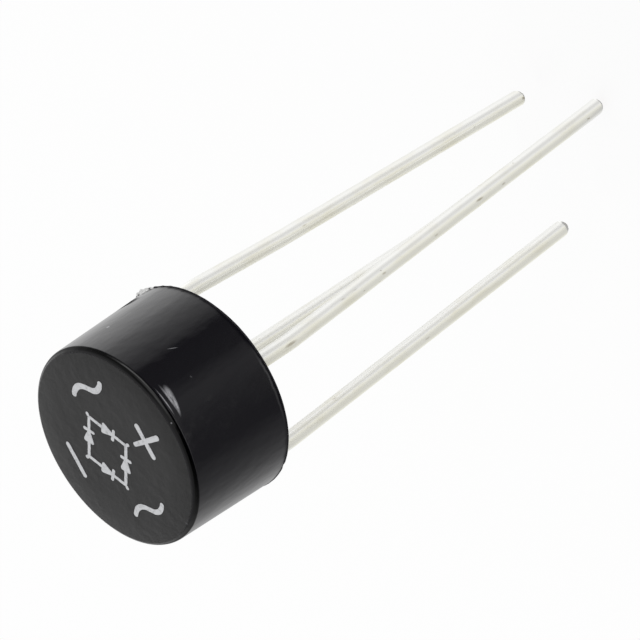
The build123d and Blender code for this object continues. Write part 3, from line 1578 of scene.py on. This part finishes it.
@dataclass
class Marking:
    """The signs on the marked face: polarity, the two AC inputs, and the bridge's symbol.

    Distances run across the signs and up them, from the middle of the face.

    Attributes:
        level: The marked face's height.
        turn: How far the signs are turned, in degrees.
        plus: The middle of the plus sign.
        plus_arms: How far it reaches to the left, to the right, down and up.
        minus_up: How far up the minus sign is.
        minus_reach: How far it reaches to each side.
        waves: The middles of the two waves, each with its share of the full width.
        wave: A wave's points, each with its share of the full width.
        foot_share: How wide the plus sign's foot is, as a share of a sign's line.
        minus_share: How wide the minus sign's line is, as the same share.
        wave_share: How wide a wave is at its widest, as the same share.
        nose_share: How wide a diode's arrow is at its point, as a share of the symbol's line.
        bridge_middle: How far up the symbol's middle is.
        stub: How far a wire stands out of each corner of the symbol.
        diode: Half the length of a diode's arrow, and of its bar.
        hair: How far crossing strokes are kept apart.
        hair_levels: How many levels they are spread over.
    """

    level: float
    turn: float = -50.0
    thickness: float = 0.0100
    sign_width: float = 0.27
    line_width: float = 0.17
    plus: Band = (0.05, 2.38)
    plus_arms: tuple[float, ...] = (0.84, 0.86, 0.84, 1.02)
    minus_up: float = -2.87
    minus_reach: float = 0.86
    waves: tuple[Triple, ...] = ((-2.74, 0.38, 1.0), (2.92, 0.17, 0.9))
    wave: tuple[Triple, ...] = (
        (-0.16, 1.14, 0.88), (0.04, 0.94, 0.95), (0.16, 0.66, 1.0), (0.13, 0.38, 1.0),
        (-0.02, 0.12, 0.92), (-0.17, -0.14, 0.92), (-0.24, -0.42, 1.0), (-0.19, -0.68, 1.0),
        (-0.06, -0.90, 0.95), (0.10, -1.08, 0.9),
    )
    foot_share: float = 0.8
    minus_share: float = 0.9
    wave_share: float = 1.08
    nose_share: float = 0.8
    bridge_middle: float = -0.45
    bridge_reach: float = 1.62
    bridge_rise: float = 1.42
    stub: float = 0.24
    diode: float = 0.33
    step: float = 0.02
    ragged: float = 0.05
    hair: float = 0.0003
    hair_levels: int = 5
    seed: float = 5.0

    def signs(self) -> list[Stroke]:
        """Plus, minus and the two AC waves.

        Returns:
            The strokes, each point across, up and its half width.
        """
        wide = self.sign_width / 2
        across, up = self.plus
        to_left, to_right, down, rise = self.plus_arms
        strokes = [
            [(across - to_left, up, wide), (across + to_right, up, wide)],
            [(across, up - down, wide * self.foot_share), (across, up + rise, wide)],
            [(side * self.minus_reach, self.minus_up, wide * self.minus_share) for side in (-1, 1)],
        ]
        wave = smooth(self.wave, 5)
        for across, up, slim in self.waves:
            strokes.append([(across + a, up + b, wide * self.wave_share * w * slim) for a, b, w in wave])
        return strokes

    def bridge(self) -> list[Stroke]:
        """Four diodes in a diamond, all leading from minus to plus.

        Returns:
            The strokes, each point across, up and its half width.
        """
        thin = self.line_width / 2
        middle = self.bridge_middle
        left, right = (-self.bridge_reach, middle), (self.bridge_reach, middle)
        top, bottom = (0.0, middle + self.bridge_rise), (0.0, middle - self.bridge_rise)
        strokes = []
        for start, end in ((bottom, left), (bottom, right), (left, top), (right, top)):
            a, b = Vector(start), Vector(end)
            ahead = (b - a).normalized()
            bar = Vector((-ahead.y, ahead.x)) * self.diode
            half = (a + b) / 2
            tail, nose = half - ahead * self.diode, half + ahead * self.diode
            strokes += [
                [(*a, thin), (*half, thin)],
                [(*nose, thin), (*b, thin)],
                [(*tail, self.diode), (*nose, thin * self.nose_share)],
                [(*(nose - bar), thin), (*(nose + bar), thin)],
            ]
        for (x, y), (dx, dy) in ((left, (-1, 0)), (right, (1, 0)), (top, (0, 1)), (bottom, (0, -1))):
            strokes.append([(x, y, thin), (x + dx * self.stub, y + dy * self.stub, thin)])
        return strokes

    def placed(self, stroke: Stroke, lift: float) -> list[tuple[Point, float]]:
        """Turn a stroke into the part's frame, on the marked face, raised by a hair's breadth."""
        turn = Matrix.Rotation(math.radians(self.turn), 2)
        return [((*(turn @ Vector((a, b))), self.level + lift), w) for a, b, w in stroke]

    def dress(self, ink: bpy.types.Material) -> bpy.types.Object:
        """Print the signs.

        Args:
            ink: The ink.

        Returns:
            The finished piece.
        """
        strokes = []
        for i, stroke in enumerate((*self.signs(), *self.bridge())):
            strokes.append(self.placed(stroke, i % self.hair_levels * self.hair))
        sizes = {
            "Thickness": self.thickness * MM,
            "Step": self.step * MM,
            "End Round": self.sign_width / 2 * MM,
            "Edge Wander": self.ragged * MM,
            "Seed": self.seed,
            "Ink": ink,
        }
        mesh = InkGrower().grow(routes("sign_strokes", strokes), sizes)
        return finished("printed_signs", merged("signs", [mesh], ink))


def smooth(points: Iterable[Triple], steps: int) -> Stroke:
    """Round off a row of points.

    Args:
        points: The points to pass through.
        steps: How many steps go between each two.

    Returns:
        More points on the rounded line.
    """
    known = np.array(points)
    ends = np.vstack([2 * known[0] - known[1], known, 2 * known[-1] - known[-2]])
    made = []
    for a, b, c, d in zip(ends, ends[1:], ends[2:], ends[3:]):
        for t in np.linspace(0, 1, steps, endpoint=False):
            square = (2 * a - 5 * b + 4 * c - d) * t**2
            cube = (3 * b - a - 3 * c + d) * t**3
            made.append(tuple(0.5 * (2 * b + (c - a) * t + square + cube)))
    return [*made, tuple(known[-1])]


# ---- The diodes ------------------------------------------------------------------------------


@dataclass
class DiodeStacks:
    """The four sealed stacks, which keep their CAD shapes and get their own finishes."""

    sites: tuple[str, ...] = ("plus_left", "plus_right", "minus_left", "minus_right")

    def dress(self) -> None:
        """Give every die, solder layer and coating its material."""
        silicon = SiliconDie().material()
        solder = SolderLayer().material()
        coating = JunctionCoating().material()
        for site in self.sites:
            self.coat(f"die_{site}", silicon)
            self.coat(f"solder_{site}_lower", solder)
            self.coat(f"solder_{site}_upper", solder)
            self.coat(f"coating_{site}", coating)
        log.info("diode stacks: %d", len(self.sites))

    def coat(self, name: str, material: bpy.types.Material) -> None:
        """Swap a CAD node's material.

        Args:
            name: The node.
            material: Its new material.
        """
        node = frame["nodes"][name]
        if not node.material_slots:
            node.data.materials.append(material)
        for slot in node.material_slots:
            slot.link = "OBJECT"
            slot.material = material


# ---- The studio ------------------------------------------------------------------------------


@dataclass(frozen=True)
class SoftBox:
    """A soft lamp that faces the part.

    Attributes:
        name: Its name.
        turn: Where it stands round the part, in degrees from +X towards +Y.
        rise: How high it stands, in degrees.
        distance: How far away it is, in metres.
        width: Its width in metres.
        height: Its height in metres.
        level: How bright its face is, where 1 is white.
    """

    name: str = "overhead_panel"
    turn: float = -100.0
    rise: float = 62.0
    distance: float = 0.30
    width: float = 0.16
    height: float = 0.16
    level: float = 1.9

    def hang(self) -> None:
        """Put the lamp in the scene."""
        data = bpy.data.lights.new(self.name, "AREA")
        data.shape = "RECTANGLE"
        data.size, data.size_y = self.width, self.height
        data.energy = self.level * math.pi * self.width * self.height
        turn, rise = math.radians(self.turn), math.radians(self.rise)
        away = Vector((math.cos(turn) * math.cos(rise), math.sin(turn) * math.cos(rise), math.sin(rise)))
        lamp = added(self.name, data)
        lamp.location = away * self.distance
        lamp.rotation_mode = "QUATERNION"
        lamp.rotation_quaternion = away.to_track_quat("Z", "Y")
        lamp.visible_camera = lamp.visible_glossy = False
        log.info("%s hangs", self.name)


@dataclass
class RoundBackdrop:
    """A pale band that stands round the wires and shows only in their shine.

    Attributes:
        radius: Its radius.
        top: Its upper edge on the camera's side, in the part's frame.
        dip: How much lower its upper edge is on the far side.
        foot: Its lower edge.
        near_side: Which way the camera's side is, in degrees from +X.
        sides: How many flat sides make it round.
        levels: How bright it is, by degrees from +X.
        warm: The tint of the levels within warm_side.
        warm_side: Where that tint begins and ends, in degrees from +X.
    """

    radius: float = 30.0
    top: float = -16.4
    dip: float = 4.7
    foot: float = -50.0
    near_side: float = 50.0
    sides: int = 96
    levels: Ring = (
        (-180, 0.94), (-130, 0.95), (-96, 0.86), (-65, 0.67), (-44, 0.54), (-26, 0.51), (-11, 0.52),
        (4, 0.53), (17, 0.60), (30, 0.73), (43, 0.82), (56, 0.80), (69, 0.66), (82, 0.59), (96, 0.70),
        (111, 0.92), (126, 1.02), (144, 0.99), (165, 0.90), (180, 0.94),
    )
    warm: Colour = (1.0, 0.985, 0.86)
    warm_side: Band = (-100, 50)

    def colour(self, degrees: float, level: float) -> Colour:
        """The band's colour in one direction."""
        tint = self.warm if self.warm_side[0] < degrees < self.warm_side[1] else WHITE
        return tuple(level * t for t in tint)

    def shine(self) -> bpy.types.Material:
        """Make the band's light.

        Returns:
            The material.
        """
        material = bpy.data.materials.new("backdrop_shine")
        material.cycles.emission_sampling = "NONE"
        w = emptied(material)
        x, y, _ = w.split(w.out("ShaderNodeTexCoord", output="Object"))
        colour = w.around(w.heading(x, y), ((d, self.colour(d, level)) for d, level in self.levels))
        glow = w.out("ShaderNodeEmission", {"Color": colour, "Strength": 1.0})
        w.node("ShaderNodeOutputMaterial", {"Surface": glow})
        return material

    def stand(self) -> None:
        """Put the band in the scene."""
        points: list[Point] = []
        for turn in (2 * math.pi * i / self.sides for i in range(self.sides)):
            top = self.top - self.dip * (1 - math.cos(turn - math.radians(self.near_side))) / 2
            x, y = self.radius * math.cos(turn), self.radius * math.sin(turn)
            points += [(x * MM, y * MM, height * MM) for height in (top, self.foot)]
        pairs = [(2 * i, 2 * ((i + 1) % self.sides)) for i in range(self.sides)]
        mesh = bpy.data.meshes.new("round_backdrop")
        mesh.from_pydata(points, [], [(here, here + 1, after + 1, after) for here, after in pairs])
        mesh.materials.append(self.shine())
        band = added("round_backdrop", mesh)
        band.visible_camera = band.visible_diffuse = band.visible_transmission = False
        band.visible_volume_scatter = band.visible_shadow = False


@dataclass
class Room:
    """The pale room that the part mirrors, with a dark opening on the camera's side.

    Attributes:
        rings: How bright the room is, from the lowest ring of directions to the highest. Each
            ring has the heights of the direction over which it takes over from the one below, and
            its levels by degrees from +X.
        nadir: How bright it is straight down.
        zenith: How bright it is straight up.
        zenith_rise: Heights of the direction over which the zenith takes over.
        even: How bright it is for the light that falls on the part.
        most: The highest level that a ring may have.
    """

    rings: tuple[tuple[Band, Ring], ...] = (
        ((-0.90, -0.72), (
            (-180, 1.25), (-164, 1.17), (-148, 0.86), (-132, 0.56), (-124, 0.50), (-112, 0.62), (-104, 0.72),
            (-96, 0.76), (-88, 0.78), (-72, 0.69), (-56, 0.52), (-40, 0.40), (-24, 0.30), (-9, 0.17),
            (7, 0.17), (30, 0.255), (44, 0.375), (54, 0.415), (64, 0.275), (72, 0.155), (100, 0.115),
            (107, 0.36), (117, 0.60), (133, 0.94), (145, 1.18), (156, 1.48), (166, 1.50), (180, 1.25),
        )),
        ((-0.470, -0.450), (
            (-180, 0.60), (-150, 0.28), (-118, 0.16), (-88, 0.24), (-55, 0.34), (-28, 0.30), (0, 0.70),
            (20, 1.30), (36, 1.30), (52, 0.60), (66, 0.06), (100, 0.03), (118, 0.14), (145, 0.42),
            (170, 0.55), (180, 0.60),
        )),
        ((-0.42, -0.36), (
            (-180, 0.20), (-165, 0.22), (-150, 0.22), (-125, 0.12), (-95, 0.16), (-74, 0.22), (-50, 0.13),
            (-24, 0.03), (0, 0.0), (66, 0.0), (80, 0.02), (88, 0.08), (100, 0.16), (115, 0.30), (125, 0.18),
            (142, 0.08), (165, 0.15), (180, 0.20),
        )),
        ((-0.28, -0.16), (
            (-180, 0.35), (-165, 0.48), (-150, 0.60), (-125, 0.38), (-95, 0.34), (-74, 0.32), (-50, 0.15),
            (-24, 0.04), (0, 0.0), (50, 0.0), (60, 0.20), (74, 1.00), (88, 1.90), (100, 1.90), (112, 2.00),
            (122, 0.70), (135, 0.14), (145, 0.10), (165, 0.20), (180, 0.35),
        )),
        ((-0.06, 0.08), (
            (-180, 0.50), (-168, 0.80), (-155, 1.25), (-142, 2.0), (-124, 2.0), (-112, 1.20), (-95, 0.54),
            (-74, 0.40), (-50, 0.22), (-24, 0.06), (3, 0.0), (28, 0.02), (44, 0.50), (56, 1.20), (68, 1.25),
            (80, 0.85), (90, 0.60), (100, 0.28), (114, 0.15), (140, 0.12), (165, 0.26), (180, 0.50),
        )),
        ((0.25, 0.46), (
            (-180, 0.48), (-150, 0.30), (-128, 0.12), (-100, 0.40), (-80, 0.34), (-50, 0.30), (-20, 0.28),
            (10, 0.26), (35, 0.42), (61, 0.38), (80, 0.16), (100, 0.14), (122, 0.26), (150, 0.34),
            (180, 0.48),
        )),
    )
    nadir: float = 0.10
    zenith: float = 0.42
    zenith_rise: Band = (0.66, 0.93)
    even: float = 0.94
    most: float = 2.0

    def light(self) -> None:
        """Make the room the scene's world."""
        world = bpy.data.worlds.new("studio_room")
        bpy.context.scene.world = world
        w = emptied(world)
        world.cycles.sampling_method = "NONE"
        x, y, z = w.split(w.out("ShaderNodeTexCoord", output="Generated"))
        turn = w.heading(x, y)
        level: Any = self.nadir
        for rise, ring in self.rings:
            greys = ((degrees, (bright / self.most,) * 3) for degrees, bright in ring)
            level = w.blend(w.window(z, *rise), level, w.around(turn, greys) * self.most)
        level = w.blend(w.window(z, *self.zenith_rise), level, self.zenith)
        path = w.node("ShaderNodeLightPath")
        level = w.blend(Signal(w, path.outputs["Is Diffuse Ray"]), level, self.even)
        lit = w.out("ShaderNodeBackground", {"Color": WHITE, "Strength": level})
        white = w.out("ShaderNodeBackground", {"Color": WHITE, "Strength": 1.0})
        seen = Signal(w, path.outputs["Is Camera Ray"])
        both = w.out("ShaderNodeMixShader", {0: seen, 1: lit, 2: white})
        w.node("ShaderNodeOutputWorld", {"Surface": both})


@dataclass
class Studio:
    """Pale floor, soft light and camera, in metres.

    Attributes:
        floor_reach: Half the floor's side.
        floor_gap: How far it lies under the longest wire's tip.
        film: The camera's film width, in millimetres.
        lens: Its focal length, in millimetres.
        right: What points to the right in the picture.
        down: What points down in it.
        ahead: What points into it.
        stand: Where the camera stands.
    """

    floor_reach: float = 0.9
    floor_gap: float = 0.00002
    film: float = 36.0
    lens: float = 258.70
    right: Point = (0.73292, 0.01003, -0.68024)
    down: Point = (0.43080, -0.78071, 0.45266)
    ahead: Point = (-0.52653, -0.62481, -0.57652)
    stand: Point = (0.103379, 0.122235, 0.106144)

    def floor(self, paint: bpy.types.Material) -> None:
        """Lay the floor under the wire tips.

        Args:
            paint: Its paint.
        """
        level = CAD_BOX[0][2] - self.floor_gap
        reach = self.floor_reach
        corners = [(x * reach, y * reach, level) for x, y in ((-1, -1), (1, -1), (1, 1), (-1, 1))]
        mesh = bpy.data.meshes.new("floor")
        mesh.from_pydata(corners, [], [(0, 1, 2, 3)])
        mesh.materials.append(paint)
        floor = added("floor", mesh)
        floor.visible_diffuse = floor.visible_glossy = floor.visible_transmission = False
        floor.visible_shadow = False

    def camera(self) -> None:
        """Set the camera: it looks at the marked face and along the wires from above."""
        data = bpy.data.cameras.new("camera")
        data.sensor_width = self.film
        data.lens = self.lens
        data.clip_start, data.clip_end = 0.005, 10.0
        place = Matrix((self.right, -Vector(self.down), -Vector(self.ahead))).transposed().to_4x4()
        place.translation = self.stand
        view = added("camera", data)
        view.matrix_world = place
        bpy.context.scene.camera = view

    def set_up(self) -> None:
        """Make the whole studio."""
        Room().light()
        SoftBox().hang()
        self.floor(FloorPaint().material())
        RoundBackdrop().stand()
        self.camera()
        bpy.context.scene.view_settings.view_transform = "Standard"
        log.info("studio is set up")


def main() -> None:
    """Build the part's pieces in order, then the studio."""
    logging.basicConfig(level=logging.INFO, format="%(name)s: %(message)s")
    moulding = Moulding()
    resin = MouldedEpoxy().material()
    moulding.dress(resin)
    Collars().dress(resin)
    Terminals().dress()
    Marking(level=moulding.height).dress(MarkingInk().material())
    DiodeStacks().dress()
    Studio().set_up()
    bpy.context.view_layer.update()


if __name__ == "__main__":
    main()
